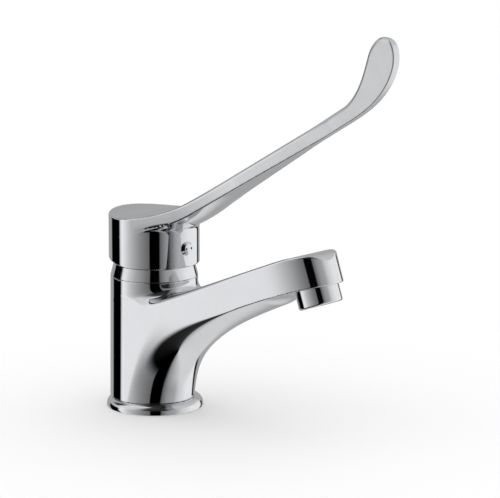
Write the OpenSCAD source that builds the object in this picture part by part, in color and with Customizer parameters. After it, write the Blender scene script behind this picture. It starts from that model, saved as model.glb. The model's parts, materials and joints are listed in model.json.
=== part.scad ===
// Elbow lever tap: a single lever basin mixer with a long clinical lever.
// The spout points along +X, the deck face lies at z = 0 and the column axis is the Z axis.

/* [Column] */
// Diameter of the column at the collar seam
column_d = 48.4; // [47.4:0.2:54]
// Diameter of the column where it stands on the base ring
foot_d = 46.4; // [45:0.2:49]
// How far the foot of the column sits behind its top
foot_back = 1.5; // [0:0.1:2.2]
// Height of the collar seam above the deck
seam_h = 74; // [72:0.5:80]

/* [Spout] */
// Distance from the column axis to the aerator axis, at the underside of the nose
spout_reach = 120.5; // [108:0.5:135]
// Height of the underside of the nose at the aerator axis
outlet_h = 83.8; // [80:0.2:90]
// Lean of the aerator axis and rise of the spout
spout_rise = 20; // [17:0.5:22]
// How much steeper the top of the spout rises than its underside
top_flare = 1.5; // [0:0.25:3]
// Taper of each flank of the spout in plan, in degrees
flank_taper = 2.7; // [1.5:0.1:4]
// How far the tip of the nose lies past the aerator axis
nose_l = 15.4; // [14.4:0.1:18]
// How far behind the aerator axis the nose starts to round in
nose_round_l = 21.8; // [18:0.2:26]
// Depth of the nose along the aerator axis
nose_t = 19.5; // [18:0.5:24]
// Chamfer along the upper edges of the spout
edge_cut = 2; // [1:0.25:3]
// Chamfer along the upper edge of the nose
nose_cut = 3.5; // [2:0.25:5]
// Radius in which the top of the spout rolls over at the nose
nose_roll_r = 60; // [45:1:90]
// How far behind the aerator axis that roll starts
nose_roll_s = 6; // [2:0.5:10]
// Height of the flank's lower edge above the underside of the nose
flank_lift = 1.4; // [0:0.1:2.5]
// How far the flank's lower edge droops towards the column
flank_droop = 16.7; // [12:0.1:20]
// Depth of the rounded belly below the nose face
belly_t = 2.8; // [1:0.1:4]
// How much steeper than the spout its belly falls towards the column, in degrees
belly_dip = 2.6; // [1.5:0.1:4]
// How far the wide arch under the belly runs down the column
arch_t = 17.3; // [14:0.1:20]
// Length in which that arch fades out along the spout
arch_l = 19; // [16:0.1:24]
// How far the tight sweep inside the arch runs down the column
sweep_t = 10.7; // [8:0.1:13]
// Length in which that sweep fades out along the spout
sweep_fade_l = 7.6; // [6:0.1:9]

/* [Base] */
// Outer diameter of the base ring
base_ring_d = 53.4; // [51.4:0.2:58]
// Height of the base ring's top, on which the column stands
base_ring_h = 5.4; // [5:0.1:7]
// Width of the base ring, from its hole to its outer edge
ring_w = 6.1; // [5:0.1:7]
// Wall of the spigot that centres the base ring
spigot_wall = 3; // [2:0.1:3.5]
// How far the gasket stands proud of the base ring
gasket_proud = 0.2; // [0.1:0.05:0.4]
// Height of the gasket
gasket_t = 1.5; // [1:0.1:2]
// How far the gasket lies inside the edge of the base ring
gasket_inset = 3.2; // [2:0.1:3.4]
// Width of the gasket
gasket_w = 2.2; // [1.5:0.1:2.4]

/* [Water ways] */
// Height of the hollow's ceiling above the deck
hollow_h = 12; // [10:0.5:14]
// Core diameter of the M10 inlet threads
inlet_d = 9; // [8.6:0.1:9.4]
// Depth of the inlet threads
inlet_l = 12; // [10:0.5:14]
// Distance of the inlets behind the column axis
inlet_back = 6.5; // [5:0.25:7.5]
// Half the distance between the two inlets
inlet_side = 9; // [8:0.25:9.5]
// Core diameter of the M8 fixing stud's thread
stud_d = 6.8; // [6.4:0.1:7]
// Depth of the stud's thread
stud_l = 11; // [9:0.5:12]
// Land between the stud's hole and the wall of the hollow under the column
stud_land = 1.6; // [1:0.1:3]
// Diameter of the water ports through casting and cartridge
port_d = 6; // [5:0.2:6.4]
// Distance of the outlet port in front of the column axis
outlet_front = 10.5; // [9.5:0.25:11]
// How far below the cartridge seat the outlet port meets its riser
riser_drop = 17.5; // [16:0.25:19]
// Diameter of the drilling that rises from the outlet port into the spout
riser_d = 8; // [6.5:0.25:8.5]
// Diameter of the drilling along the spout
spout_bore_d = 9; // [7:0.25:10]

/* [Aerator] */
// Outer diameter of the aerator sleeve, M24 nominal
aerator_d = 23.9; // [23:0.1:24.3]
// Length of the sleeve that shows below the nose
aerator_show = 9; // [7:0.25:11]
// Length of the sleeve's thread inside the nose
aerator_thread_l = 5.5; // [4.5:0.25:6.5]
// Wall of the sleeve
aerator_wall = 1.8; // [1.4:0.1:2.2]
// Thickness of the aerator's washer
washer_t = 1.5; // [1:0.1:2]
// Width of the aerator's washer
washer_w = 2.4; // [1.8:0.1:2.8]
// Height of the jet former
insert_t = 5; // [4:0.25:6]
// Diameter of each hole of the jet former
jet_d = 2; // [1.2:0.1:2.4]
// Spacing of the jet former's holes
jet_pitch = 3.2; // [2.8:0.1:3.4]
// Thickness of the screen
screen_t = 0.8; // [0.6:0.1:1.2]
// How far the jet former sits above the sleeve's lower rim
insert_recess = 1.6; // [1:0.1:2.5]

/* [Cartridge] */
// Diameter of the cartridge
cartridge_d = 40; // [39.4:0.1:40.4]
// Thickness of the cartridge base
cart_base_t = 6; // [5:0.25:7]
// Height of the housing's wide lower part
skirt_l = 15.5; // [15:0.25:17]
// Inner diameter of the housing's disc chamber
chamber_d = 34; // [33.5:0.1:35]
// Thickness of the shoulder that the nut clamps
shoulder_t = 2.5; // [2:0.1:3]
// Wall of the housing's neck
neck_wall = 2.9; // [2.4:0.1:3.2]
// Height of the neck above the shoulder
neck_l = 12.5; // [11:0.25:13]
// Diameter of the fixed disc
fixed_disc_d = 31; // [30.5:0.1:32]
// Thickness of the fixed disc
fixed_disc_t = 3.5; // [3:0.1:4]
// Diameter of the moving disc and its carrier
moving_disc_d = 24; // [22.5:0.1:24.5]
// Thickness of the moving disc
moving_disc_t = 3; // [2.6:0.1:3.4]
// Depth of the mixing hollow in the moving disc
mixing_t = 1.6; // [1:0.1:2]
// Width of the ring of rubber around each port
seal_w = 1.5; // [1:0.1:1.7]
// Height of each port seal
seal_t = 1.4; // [1:0.1:1.8]

/* [Rotor and stem] */
// Diameter of the rotor's foot flange
rotor_flange_d = 33.2; // [32.5:0.1:33.4]
// Thickness of the rotor's foot flange
rotor_flange_t = 2.8; // [2.4:0.1:3]
// Height of the pivot above the collar seam
pivot_rise = 3; // [2:0.25:4]
// How far the rotor reaches above the pivot
rotor_reach = 7; // [6:0.25:8]
// Width of the carrier's tongue
tongue_w = 16; // [14:0.25:18]
// Length of the carrier's tongue
tongue_l = 14; // [12:0.25:15]
// Diameter of the pivot pin
pin_d = 3; // [2.5:0.1:3.4]
// Width of the square stem
stem_w = 8; // [7:0.1:8.6]
// Length of the stem above the pivot
stem_l = 21; // [19:0.25:23]
// Diameter of the stem's ball end
ball_d = 6; // [5.4:0.1:6.4]
// Diameter of the stem's thin lower shank
shank_d = 4.4; // [3.6:0.1:4.6]
// Section of the rotor's seal
rotor_seal_d = 1.6; // [1.2:0.1:1.8]
// Greatest lift of the lever, in degrees
lift_max = 20; // [10:1:20]

/* [Nut and collar] */
// Diameter of the nut's thread in the column
nut_thread_d = 42.2; // [41.8:0.1:42.6]
// Length of the nut's thread in the column
nut_thread_l = 4.5; // [4:0.25:6]
// Wall of the nut's upper part, around the cartridge's neck
nut_wall = 2.9; // [2.4:0.1:3.2]
// Length of the nut's upper thread
nut_top_l = 5; // [4:0.25:6]
// Clearance between the top of the collar's cone and the inside of the drum
collar_gap = 1.2; // [0.9:0.1:1.6]
// Wall of the collar at the top of its cone
collar_wall = 1.4; // [1:0.1:2]
// Height of the collar's cone
collar_cone_l = 8.5; // [7:0.25:9]
// Height of the collar's crown above its cone
collar_crown_l = 2.5; // [2:0.25:3]
// Clearance between the collar's crown and the cartridge's neck
crown_gap = 0.6; // [0.4:0.1:1]

/* [Handle] */
// Diameter of the handle's drum
drum_d = 50; // [49.4:0.2:54]
// Height of the drum up to the lowest place of its top
drum_h = 27; // [26:0.5:32]
// How much of the collar shows below the drum
collar_show = 7.2; // [6.5:0.1:8]
// Wall of the drum
drum_wall = 1.8; // [1.4:0.1:2]
// Thickness of the drum's top
drum_top_t = 6.7; // [6.5:0.1:8]
// Angle by which the drum's rear edge is cut away, so that it can tilt
relief_angle = 7; // [6:0.25:10]
// Where that cut starts, in front of the column axis
relief_start = 3; // [0:0.25:5]
// Diameter of the socket that holds the stem
socket_d = 16; // [15:0.25:17.5]
// Height of the index button above the drum's lower edge
index_rise = 10.8; // [10:0.2:13]
// Diameter of the index button's head
index_d = 8.4; // [7.6:0.1:9]
// How far the index button stands out of the drum
index_proud = 1.6; // [1:0.1:2]
// Diameter of the index button's shank
index_shank_d = 6.4; // [5.8:0.1:6.8]
// Length of the index button's shank
index_shank_l = 6; // [4:0.25:7]
// Diameter of the red and blue dots
dot_d = 1.6; // [1.2:0.1:2]
// Half the distance between the dots
dot_side = 1.7; // [1.4:0.1:2]
// Diameter of the grub screw
grub_d = 4.8; // [4:0.1:5]
// Length of the grub screw
grub_l = 8; // [6:0.25:10]
// Width across the flats of the grub screw's key socket
grub_key = 2.5; // [2:0.1:2.8]

/* [Lever] */
// Rise of the straight part of the lever, in degrees
lever_rise = 31.2; // [28:0.2:34]
// Radius of the sweep from the drum's top into the lever
root_sweep_r = 93; // [85:1:100]
// Lowest place of that sweep, in front of the column axis
root_sweep_x = -9; // [-12:0.25:-4]
// Length of the straight part of the lever
lever_l = 116.7; // [100:0.1:130]
// Thickness of the lever at its root
lever_t = 6.7; // [6:0.1:7]
// Thickness of the lever where its end starts to bend up
bend_t = 8.4; // [7:0.1:9]
// Radius of the bend up into the paddle
bend_r = 56; // [48:0.5:62]
// Angle of the bend up into the paddle
bend_angle = 55; // [45:0.5:60]
// Breadth of the paddle
paddle_w = 18.4; // [15:0.1:21]
// Length of the paddle's rounded tip
tip_l = 14; // [10:0.5:16]
// Thickness of the paddle
paddle_t = 5.3; // [4:0.1:7]
// Taper of the lever's flanks where they leave the drum, in degrees
root_taper = 15; // [13:0.25:17]
// Width of the lever where its narrow run starts
narrow_w = 26.2; // [22:0.2:28]
// Distance of that place from the column axis
narrow_x = 48; // [44:0.5:52]
// Taper of each flank along the narrow run, in degrees
narrow_taper = 5.5; // [4.5:0.1:6]

/* [Fits] */
// Radial clearance of threads and running fits
fit = 0.1; // [0.05:0.01:0.15]
// Radial clearance of the stem on its pin
pin_fit = 0.03; // [0.02:0.01:0.08]
// Clearance of parts that slide or turn past each other
slide_gap = 0.15; // [0.1:0.01:0.3]
// Clearance of the stem's ball in its pocket
ball_gap = 0.2; // [0.15:0.01:0.3]
// Height that is left free between stacked moving parts
stack_gap = 0.3; // [0.2:0.05:0.5]

/* [Hidden] */
$fn = 64;
// Overrun of a cut past the face that it opens
cut = 1;

// Heights of the stack, from the collar seam down and up
shoulder_h = seam_h - nut_thread_l;
housing_foot_h = shoulder_h - skirt_l;
seat_h = housing_foot_h - cart_base_t;
disc_top_h = housing_foot_h + fixed_disc_t + moving_disc_t;
chamber_top_h = shoulder_h - shoulder_t;
flange_top_h = chamber_top_h - slide_gap;
flange_h = flange_top_h - rotor_flange_t;
carrier_top_h = flange_h - stack_gap;
tongue_top_h = flange_top_h - stack_gap;
pivot_h = seam_h + pivot_rise;
pocket_floor = 0.8;
ball_h = disc_top_h + pocket_floor + ball_gap + ball_d / 2;
rotor_top_h = pivot_h + rotor_reach;
stem_top_h = pivot_h + stem_l;
drum_foot_h = seam_h + collar_show;
drum_top_h = drum_foot_h + drum_h;
ceiling_h = drum_top_h - drum_top_t;
index_h = drum_foot_h + index_rise;
boss_gap = 4;
socket_foot_h = rotor_top_h + boss_gap;

// Diameters that follow the drum inwards: collar, nut, cartridge neck and rotor
collar_top_d = drum_d - 2 * drum_wall - 2 * collar_gap;
nut_top_d = collar_top_d - 2 * collar_wall - 2 * fit;
neck_d = nut_top_d - 2 * nut_wall - 4 * fit;
rotor_d = neck_d - 2 * neck_wall - 2 * fit;
collar_mouth_d = neck_d + 2 * crown_gap;

// Diameters that follow the base ring inwards: gasket, spigot and hollow
gasket_d = base_ring_d - 2 * gasket_inset;
spigot_d = base_ring_d - 2 * ring_w - 2 * fit;
hollow_d = spigot_d - 2 * spigot_wall;
stud_front = hollow_d / 2 - stud_land - stud_d / 2;

// Radii that several pieces share
nut_bore_r = neck_d / 2 + 2 * fit;
chamber_bore_r = cartridge_d / 2 + fit;
rotor_bore_r = rotor_d / 2 + fit;
sleeve_bore_r = aerator_d / 2 - aerator_wall;

// Places of the three ports: hot, cold and outlet
ports = [[-inlet_back, -inlet_side], [-inlet_back, inlet_side], [outlet_front, 0]];

// Frame at the underside of the nose: local z along the aerator axis, local x along the spout
module at_nose() {
    translate([spout_reach, 0, outlet_h])
        rotate([0, -spout_rise, 0])
            children();
}

// A cylinder that lies along +X from a given x
module rod_x(x, l, r) {
    translate([x, 0, 0])
        rotate([0, 90, 0])
            cylinder(h = l, r = r);
}

// A ring between two radii
module ring(h, r_out, r_in) {
    difference() {
        cylinder(h = h, r = r_out);
        translate([0, 0, -cut])
            cylinder(h = h + 2 * cut, r = r_in);
    }
}

// Joins rings of points of equal count into one closed skin
module skin(rings) {
    n = len(rings[0]);
    m = len(rings);
    points = [for (r = rings) each r];
    sides = [for (i = [0:m - 2], j = [0:n - 1])
        let (k = (j + 1) % n)
        each [[i * n + j, (i + 1) * n + k, i * n + k], [i * n + j, (i + 1) * n + j, (i + 1) * n + k]]];
    first = [for (j = [0:n - 1]) j];
    last = [for (j = [n - 1:-1:0]) (m - 1) * n + j];
    polyhedron(points, concat(sides, [first, last]));
}

// Axis and radius of the leaning column at a height
function column_up(z) = (z - base_ring_h) / (seam_h - base_ring_h);
function column_x(z) = -foot_back * (1 - column_up(z));
function column_r(z) = (foot_d + (column_d - foot_d) * column_up(z)) / 2;

// Spout: sections from inside the column to the tip of the nose, upright at the column and square to the aerator
// axis at the nose. Its flanks touch the column and close in a blunt nose, and its underside sweeps down the column
spout_cos = cos(spout_rise);
root_inside_x = 0.5;
root_s = -(spout_reach - root_inside_x) / spout_cos;
flank_inset = 0.1;
nose_blend = 14;
belly_start = 1.4 * nose_blend;
nose_power = 2.6;
keel_power = 1.6;
nose_steps = [0.2, 0.4, 0.56, 0.69, 0.79, 0.87, 0.93, 0.97, 0.992];
run_steps = [1, 0.96, 0.92, 0.88, 0.85, 0.82, 0.79, 0.76, 0.72, 0.68, 0.63, 0.57, 0.5, 0.42, 0.33, 0.24, 0.14, 0.05, 0];
function ramp(u) = let (t = min(max(u, 0), 1)) t * t * (3 - 2 * t);
function top_at(s) = nose_t + s * tan(top_flare) - pow(max(0, s + nose_roll_s), 2) / (2 * nose_roll_r);
function cut_at(s) = edge_cut + (nose_cut - edge_cut) * ramp(1.2 + s / nose_blend);
function belly_at(s) = -belly_t * ramp((-s - aerator_d / 2) / nose_blend)
    - tan(belly_dip) * max(0, -s - belly_start);
function sweep_at(away) = arch_t * exp(-max(0, away) / arch_l) + sweep_t * exp(-max(0, away) / sweep_fade_l);
function flank_at(s) = flank_lift - flank_droop * pow(max(0, -s - belly_start) / (-root_s - belly_start), 2);
function rounding(s) = sqrt(1 - pow(max(0, s + nose_round_l) / (nose_l + nose_round_l), nose_power));
function plan_half(s, z) = rounding(s)
    * (column_r(z) - flank_inset - (spout_reach + s * spout_cos - column_x(z)) * tan(flank_taper));
function spout_point(s, share, in, q) =
    let (at = s + q * tan(spout_rise) * ramp(s / root_s), z = outlet_h + at * sin(spout_rise) + q * spout_cos)
    [at, share * (plan_half(s, z) - in), q];
function under_at(s, share) =
    let (away = spout_reach + s * spout_cos - column_x(seam_h / 2) - column_r(seam_h / 2), f = flank_at(s))
    f + min(0, belly_at(s) - sweep_at(away) - f) * (1 - pow(abs(share), keel_power));
belly_steps = 10;
function spout_ring(s) =
    let (t = top_at(s), c = min(cut_at(s), plan_half(s, outlet_h) / 2))
    concat([spout_point(s, 1, c, t), spout_point(s, -1, c, t), spout_point(s, -1, 0, t - c)],
        [for (j = [0:belly_steps]) let (share = -1 + 2 * j / belly_steps)
            spout_point(s, share, 0, under_at(s, share))],
        [spout_point(s, 1, 0, t - c)]);
spout_rings = concat([for (u = run_steps) spout_ring(u * root_s - (1 - u) * nose_round_l)],
    [for (u = nose_steps) spout_ring(u * nose_l - (1 - u) * nose_round_l)]);

// Water way: outlet port, riser and spout drilling
riser_foot_h = seat_h - riser_drop;
spout_bore_z = nose_t * 0.44;
bend_s = 0.632 * root_s;
riser_end = [spout_reach + bend_s * spout_cos - spout_bore_z * sin(spout_rise),
    outlet_h + bend_s * sin(spout_rise) + spout_bore_z * spout_cos];
riser_run = riser_end[0] - outlet_front;
riser_climb = riser_end[1] - riser_foot_h;
throat_t = spout_bore_z + spout_bore_d / 2 + 0.5;
aerator_seat = aerator_thread_l + washer_t;
throat_r = aerator_d / 2 - washer_w - fit;

module water_ways() {
    for (p = ports)
        translate([p[0], p[1], p[0] < 0 ? hollow_h : riser_foot_h])
            cylinder(h = seat_h + cut - (p[0] < 0 ? hollow_h : riser_foot_h), d = port_d);
    for (side = [-1, 1])
        translate([-inlet_back, side * inlet_side, hollow_h - cut])
            cylinder(h = inlet_l + cut, d = inlet_d);
    translate([stud_front, 0, hollow_h - cut])
        cylinder(h = stud_l + cut, d = stud_d);
    translate([outlet_front, 0, riser_foot_h])
        rotate([0, atan2(riser_run, riser_climb), 0])
            cylinder(h = norm([riser_run, riser_climb]) + spout_bore_d / 4, d = riser_d);
    at_nose() {
        translate([0, 0, spout_bore_z])
            rod_x(bend_s - spout_bore_d / 4, -bend_s + spout_bore_d / 4, spout_bore_d / 2);
        cylinder(h = throat_t, r = throat_r);
        translate([0, 0, -2 * cut - belly_t])
            cylinder(h = aerator_seat + 2 * cut + belly_t, r = aerator_d / 2 + fit);
    }
}

// Casting of column and spout. The hollow under the column also clears the lowest point of the spout's root
column_sides = 72;
root_low = under_at(root_s, 0);
root_low_h = outlet_h + (root_s + root_low * tan(spout_rise)) * sin(spout_rise) + root_low * spout_cos;
hollow_foot_h = min(0, root_low_h) - cut;
module body() {
    color("gainsboro")
        difference() {
            union() {
                hull() {
                    translate([-foot_back, 0, base_ring_h])
                        cylinder(h = 0.1, d = foot_d, $fn = column_sides);
                    translate([0, 0, seam_h - 0.1])
                        cylinder(h = 0.1, d = column_d, $fn = column_sides);
                }
                translate([0, 0, gasket_t])
                    cylinder(h = base_ring_h, d = spigot_d);
                at_nose()
                    skin(spout_rings);
            }
            translate([0, 0, seat_h])
                cylinder(h = seam_h, r = chamber_bore_r);
            translate([0, 0, shoulder_h - cut])
                cylinder(h = seam_h, r = nut_thread_d / 2 + fit);
            translate([0, 0, hollow_foot_h])
                cylinder(h = hollow_h - hollow_foot_h, d = hollow_d);
            water_ways();
        }
}

// Bulging ring under the column, with the groove for its gasket
bulge_r = 4.2;
bulge_h = base_ring_h - bulge_r;
bulge_x = base_ring_d / 2 - bulge_r;
module base_ring() {
    color("silver")
        difference() {
            rotate_extrude()
                difference() {
                    union() {
                        intersection() {
                            translate([bulge_x, bulge_h])
                                circle(r = bulge_r);
                            translate([0, gasket_proud])
                                square([base_ring_d, base_ring_h - gasket_proud]);
                        }
                        translate([spigot_d / 2 + fit, gasket_proud])
                            square([bulge_x - spigot_d / 2 - fit, base_ring_h - gasket_proud]);
                    }
                    translate([gasket_d / 2 - gasket_w - fit, 0])
                        square([gasket_w + 2 * fit, gasket_t]);
                }
            translate([0, 0, -cut])
                cylinder(h = base_ring_h + 2 * cut, r = spigot_d / 2 + fit);
        }
}

// Rubber ring on which the tap stands
module base_gasket() {
    color("dimgray")
        ring(gasket_t, gasket_d / 2, gasket_d / 2 - gasket_w);
}

// Tapered cover ring, screwed onto the nut
module collar() {
    cone_top = seam_h + collar_cone_l;
    crown = cone_top + collar_crown_l;
    step = seam_h + nut_top_l + stack_gap;
    thread_r = nut_top_d / 2 + fit;
    color("silver")
        rotate_extrude()
            polygon([[thread_r, seam_h], [column_d / 2, seam_h], [collar_top_d / 2, cone_top],
                [collar_top_d / 2 - collar_crown_l, crown], [collar_mouth_d / 2, crown],
                [collar_mouth_d / 2, step], [thread_r, step]]);
}

// Ring nut with four spanner notches, which clamps the cartridge
notch_w = 4;
notch_t = 1.5;
module retaining_nut() {
    color("goldenrod")
        difference() {
            union() {
                translate([0, 0, shoulder_h])
                    cylinder(h = nut_thread_l, d = nut_thread_d);
                translate([0, 0, seam_h])
                    cylinder(h = nut_top_l, d = nut_top_d);
            }
            translate([0, 0, shoulder_h - cut])
                cylinder(h = nut_thread_l + nut_top_l + 2 * cut, r = nut_bore_r);
            for (a = [0, 90])
                rotate([0, 0, a])
                    translate([-nut_top_d, -notch_w / 2, seam_h + nut_top_l - notch_t])
                        cube([2 * nut_top_d, notch_w, notch_t + cut]);
        }
}

// Shell of the cartridge
module cartridge_housing() {
    color("ivory")
        difference() {
            union() {
                translate([0, 0, housing_foot_h])
                    cylinder(h = skirt_l, d = cartridge_d);
                translate([0, 0, housing_foot_h])
                    cylinder(h = skirt_l + neck_l, d = neck_d);
            }
            translate([0, 0, housing_foot_h - cut])
                cylinder(h = chamber_top_h - housing_foot_h + cut, d = chamber_d);
            translate([0, 0, housing_foot_h])
                cylinder(h = skirt_l + neck_l + cut, r = rotor_bore_r);
        }
}

// Grooves for the seals around the ports, from a given height up
module seal_grooves(h) {
    for (p = ports)
        translate([p[0], p[1], h])
            cylinder(h = seal_t, r = port_d / 2 + seal_w + fit);
}

// Three rubber rings, one around each port
module seals(h) {
    for (p = ports)
        translate([p[0], p[1], h])
            ring(seal_t, port_d / 2 + seal_w, port_d / 2);
}

// Holes of the three ports through a disc
module port_holes(h, l) {
    for (p = ports)
        translate([p[0], p[1], h - cut])
            cylinder(h = l + 2 * cut, d = port_d);
}

module cartridge_base() {
    color("whitesmoke")
        difference() {
            translate([0, 0, seat_h])
                cylinder(h = cart_base_t, d = cartridge_d);
            port_holes(seat_h, cart_base_t);
            translate([0, 0, -cut])
                seal_grooves(seat_h);
            translate([0, 0, seal_t])
                seal_grooves(seat_h - cut);
            seal_grooves(housing_foot_h - seal_t);
            translate([0, 0, cut])
                seal_grooves(housing_foot_h - seal_t);
        }
}

module port_seals() {
    color("black")
        seals(seat_h);
}

module disc_seals() {
    color("black")
        seals(housing_foot_h - seal_t);
}

module fixed_disc() {
    color("white")
        difference() {
            translate([0, 0, housing_foot_h])
                cylinder(h = fixed_disc_t, d = fixed_disc_d);
            port_holes(housing_foot_h, fixed_disc_t);
        }
}

// Ceramic disc with a round mixing hollow over the outlet
module moving_disc() {
    color("white")
        difference() {
            translate([0, 0, housing_foot_h + fixed_disc_t])
                cylinder(h = moving_disc_t, d = moving_disc_d);
            translate([moving_disc_d / 10, 0, housing_foot_h + fixed_disc_t - cut])
                cylinder(h = mixing_t + cut, r = moving_disc_d / 4);
        }
}

// Slider on the moving disc, with a tongue in the rotor's channel and a pocket for the stem's ball
module disc_carrier() {
    color("lightsteelblue")
        difference() {
            union() {
                translate([0, 0, disc_top_h])
                    cylinder(h = carrier_top_h - disc_top_h, d = moving_disc_d);
                translate([-tongue_l / 2, -tongue_w / 2, disc_top_h])
                    cube([tongue_l, tongue_w, tongue_top_h - disc_top_h]);
            }
            translate([0, 0, disc_top_h + pocket_floor])
                cylinder(h = tongue_top_h, r = ball_d / 2 + ball_gap);
        }
}

// Lever guide that turns in the housing and carries the pivot pin
stem_half = stem_w / 2;
hub_r = stem_half + 0.5;
slot_half = stem_half + slide_gap;
channel_w = tongue_w + 2 * slide_gap;
swing_up = rotor_reach * tan(lift_max) + stem_half / cos(lift_max) + stack_gap;
swing_down = (pivot_h - flange_h) * tan(lift_max) + shank_d / 2 / cos(lift_max) + stack_gap;
seal_seat_h = (flange_top_h + pivot_h) / 2;
seal_seat_r = rotor_d / 2 - rotor_seal_d;
module rotor() {
    color("lightgray")
        difference() {
            union() {
                translate([0, 0, flange_h])
                    cylinder(h = rotor_flange_t, d = rotor_flange_d);
                translate([0, 0, flange_h])
                    cylinder(h = rotor_top_h - flange_h, d = rotor_d);
            }
            translate([-rotor_flange_d, -channel_w / 2, flange_h - cut])
                cube([2 * rotor_flange_d, channel_w, tongue_top_h + stack_gap - flange_h + cut]);
            translate([-swing_up, -slot_half, pivot_h])
                cube([swing_up + hub_r + stack_gap, 2 * slot_half, rotor_reach + cut]);
            translate([-hub_r - stack_gap, -slot_half, flange_h - cut])
                cube([hub_r + stack_gap + swing_down, 2 * slot_half, pivot_h - flange_h + 2 * cut]);
            translate([0, 0, pivot_h])
                rotate([90, 0, 0])
                    cylinder(h = rotor_flange_d, r = pin_d / 2 + pin_fit, center = true);
            translate([0, 0, seal_seat_h - rotor_seal_d / 2])
                ring(rotor_seal_d, rotor_d, seal_seat_r);
        }
}

module rotor_seal() {
    color("black")
        translate([0, 0, seal_seat_h])
            rotate_extrude()
                translate([seal_seat_r + rotor_seal_d / 2, 0])
                    circle(d = rotor_seal_d - pin_fit);
}

pin_end_gap = 0.6;
module pivot_pin() {
    color("gray")
        translate([0, 0, pivot_h])
            rotate([90, 0, 0])
                cylinder(h = rotor_d - 2 * pin_end_gap, d = pin_d, center = true);
}

// Square stem with a hub on the pin, a thin shank and a ball below
module lever_stem() {
    color("darkgray")
        difference() {
            union() {
                translate([-stem_half, -stem_half, pivot_h])
                    cube([stem_w, stem_w, stem_l]);
                translate([0, 0, pivot_h])
                    rotate([90, 0, 0])
                        cylinder(h = stem_w, r = hub_r, center = true);
                translate([0, 0, ball_h])
                    cylinder(h = pivot_h - ball_h, d = shank_d);
                translate([0, 0, ball_h])
                    sphere(d = ball_d);
            }
            translate([0, 0, pivot_h])
                rotate([90, 0, 0])
                    cylinder(h = 2 * stem_w, r = pin_d / 2 + pin_fit, center = true);
        }
}

// Lever: a spine in the XZ plane, first a sweep, then a straight run, then the bend up into the paddle
spine_r = root_sweep_r + lever_t / 2;
spine_h = drum_top_h - lever_t / 2;
rad = PI / 180;
sweep_l = spine_r * lever_rise * rad;
bend_start = sweep_l + lever_l;
bend_l = bend_r * bend_angle * rad;
spine_end = bend_start + bend_l;
function spine_angle(s) = s < sweep_l ? s / spine_r / rad
    : s < bend_start ? lever_rise
    : lever_rise + (s - bend_start) / bend_r / rad;
function on_sweep(a) = [root_sweep_x + spine_r * sin(a), spine_h + spine_r * (1 - cos(a))];
function on_run(d) = on_sweep(lever_rise) + d * [cos(lever_rise), sin(lever_rise)];
function on_bend(a) = on_run(lever_l) + bend_r * [sin(a) - sin(lever_rise), cos(lever_rise) - cos(a)];
function spine(s) = s < sweep_l ? on_sweep(spine_angle(s))
    : s < bend_start ? on_run(s - sweep_l)
    : on_bend(spine_angle(s));
function half_depth(s) = s < sweep_l ? lever_t / 2
    : s < bend_start ? (lever_t + (bend_t - lever_t) * pow((s - sweep_l) / lever_l, 2)) / 2
    : s < spine_end - tip_l ? (bend_t + (paddle_w - bend_t) * ramp((s - bend_start) / (bend_l - tip_l))) / 2
    : paddle_w / 2 * sqrt(max(0, 1 - pow((s - spine_end + tip_l) / tip_l, 2)));
root_inset = 0.6;
run_blend = 3;
function soft_max(a, b) = (a + b + sqrt(pow(a - b, 2) + run_blend)) / 2;
function root_half(x) = ((drum_d / 2 - root_inset) - x * sin(root_taper)) / cos(root_taper);
function narrow_half(x) = narrow_w / 2 - (x - narrow_x) * tan(narrow_taper);
function lever_half(x) = max(paddle_t / 2, soft_max(root_half(x), narrow_half(x)) - 0.4);
corner = 1.2;
function lever_ring(s) =
    let (p = spine(s), a = spine_angle(s), e = half_depth(s), w = lever_half(p[0]))
    let (c = min(corner, e / 2, w / 2), v = w - c, d = e - c)
    [for (q = [[v, e], [-v, e], [-w, d], [-w, -d], [-v, -e], [v, -e], [w, -d], [w, d]])
        [p[0] - q[1] * sin(a), q[0], p[1] + q[1] * cos(a)]];
lever_root_x = 3.3;
lever_root_s = spine_r * asin((lever_root_x - root_sweep_x) / spine_r) * rad;
lever_steps = concat([for (u = [0:0.125:1]) lever_root_s + u * (sweep_l - lever_root_s)],
    [for (u = [0.1:0.1:1]) sweep_l + u * lever_l],
    [for (u = [0.125:0.125:1]) bend_start + u * (bend_l - tip_l)],
    [for (a = [20, 38, 54, 67, 77, 85]) spine_end - tip_l + tip_l * sin(a)]);

// Hollow of the drum, around the stem's socket and the grub screw's boss
screw_boss_d = grub_d + 4.4;
module drum_hollow() {
    difference() {
        translate([0, 0, drum_foot_h - cut])
            cylinder(h = ceiling_h - drum_foot_h + cut, r = drum_d / 2 - drum_wall);
        translate([0, 0, socket_foot_h])
            cylinder(h = drum_h, d = socket_d);
        intersection() {
            translate([0, 0, index_h])
                rod_x(0, drum_d / 2, screw_boss_d / 2);
            translate([0, 0, socket_foot_h])
                cylinder(h = drum_h, d = drum_d);
        }
    }
}

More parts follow.
